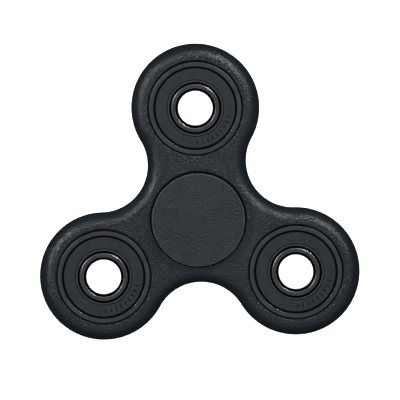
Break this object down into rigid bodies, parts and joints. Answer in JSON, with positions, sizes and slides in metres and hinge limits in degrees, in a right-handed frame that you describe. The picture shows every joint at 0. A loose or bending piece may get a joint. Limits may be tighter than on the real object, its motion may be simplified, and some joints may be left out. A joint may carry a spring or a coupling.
{
  "type": "fidget spinner",
  "caption": "Flat hand spinner: a smooth lobed body on a central ball bearing between two round finger caps, with an open-bored ball bearing as the weight in each lobe.",
  "frame": {"origin": "centre of the lower finger pad's flat face, on the spin axis", "axes": "+Z along the spin axis, towards the upper finger pad; +Y towards one lobe"},
  "size_m": [0.0752, 0.069, 0.0128],
  "materials": {
    "body_plastic": "fine spark-eroded texture, black",
    "cap_plastic": "fine spark-eroded texture, black",
    "seal_rubber": "matt moulded nitrile rubber, black",
    "ring_steel": "ground bearing steel with a black oxide finish",
    "ball_steel": "polished bearing balls",
    "shield_steel": "pressed sheet steel",
    "spring_steel": "drawn spring wire",
    "cage_nylon": "natural nylon"
  },
  "bodies": {
    "hub": {"upper_cap": "cap_plastic", "lower_cap": "cap_plastic", "centre_inner_ring": "ring_steel"},
    "rotor": {"spinner_body": "body_plastic", "centre_outer_ring": "ring_steel", "centre_upper_shield": "shield_steel", "centre_lower_shield": "shield_steel", "centre_upper_shield_clip": "spring_steel", "centre_lower_shield_clip": "spring_steel", "arm_1_outer_ring": "ring_steel", "arm_1_upper_seal": "seal_rubber", "arm_1_lower_seal": "seal_rubber", "arm_1_upper_seal_core": "shield_steel", "arm_1_lower_seal_core": "shield_steel", "arm_2_outer_ring": "ring_steel", "arm_2_upper_seal": "seal_rubber", "arm_2_lower_seal": "seal_rubber", "arm_2_upper_seal_core": "shield_steel", "arm_2_lower_seal_core": "shield_steel", "arm_3_outer_ring": "ring_steel", "arm_3_upper_seal": "seal_rubber", "arm_3_lower_seal": "seal_rubber", "arm_3_upper_seal_core": "shield_steel", "arm_3_lower_seal_core": "shield_steel"},
    "centre_rollers": {"centre_cage": "cage_nylon", "centre_balls": "ball_steel"},
    "arm_1_bore": {"arm_1_inner_ring": "ring_steel"},
    "arm_1_rollers": {"arm_1_cage": "cage_nylon", "arm_1_balls": "ball_steel"},
    "arm_2_bore": {"arm_2_inner_ring": "ring_steel"},
    "arm_2_rollers": {"arm_2_cage": "cage_nylon", "arm_2_balls": "ball_steel"},
    "arm_3_bore": {"arm_3_inner_ring": "ring_steel"},
    "arm_3_rollers": {"arm_3_cage": "cage_nylon", "arm_3_balls": "ball_steel"}
  },
  "joints": [
    {"name": "body_spin", "type": "hinge", "parent": "hub", "child": "rotor", "pos_m": [0, 0, 0.0064], "axis": [0, 0, 1], "continuous": true},
    {"name": "centre_rollers_spin", "type": "hinge", "parent": "hub", "child": "centre_rollers", "pos_m": [0, 0, 0.0064], "axis": [0, 0, 1], "continuous": true},
    {"name": "arm_1_bore_spin", "type": "hinge", "parent": "rotor", "child": "arm_1_bore", "pos_m": [0, 0.026, 0.0064], "axis": [0, 0, 1], "continuous": true},
    {"name": "arm_1_rollers_spin", "type": "hinge", "parent": "rotor", "child": "arm_1_rollers", "pos_m": [0, 0.026, 0.0064], "axis": [0, 0, 1], "continuous": true},
    {"name": "arm_2_bore_spin", "type": "hinge", "parent": "rotor", "child": "arm_2_bore", "pos_m": [-0.02252, -0.013, 0.0064], "axis": [0, 0, 1], "continuous": true},
    {"name": "arm_2_rollers_spin", "type": "hinge", "parent": "rotor", "child": "arm_2_rollers", "pos_m": [-0.02252, -0.013, 0.0064], "axis": [0, 0, 1], "continuous": true},
    {"name": "arm_3_bore_spin", "type": "hinge", "parent": "rotor", "child": "arm_3_bore", "pos_m": [0.02252, -0.013, 0.0064], "axis": [0, 0, 1], "continuous": true},
    {"name": "arm_3_rollers_spin", "type": "hinge", "parent": "rotor", "child": "arm_3_rollers", "pos_m": [0.02252, -0.013, 0.0064], "axis": [0, 0, 1], "continuous": true}
  ],
  "couplings": [
    {"joint": "centre_rollers_spin", "follows": "body_spin", "ratio": 0.6323},
    {"joint": "arm_1_rollers_spin", "follows": "arm_1_bore_spin", "ratio": 0.3677},
    {"joint": "arm_2_rollers_spin", "follows": "arm_2_bore_spin", "ratio": 0.3677},
    {"joint": "arm_3_rollers_spin", "follows": "arm_3_bore_spin", "ratio": 0.3677}
  ]
}
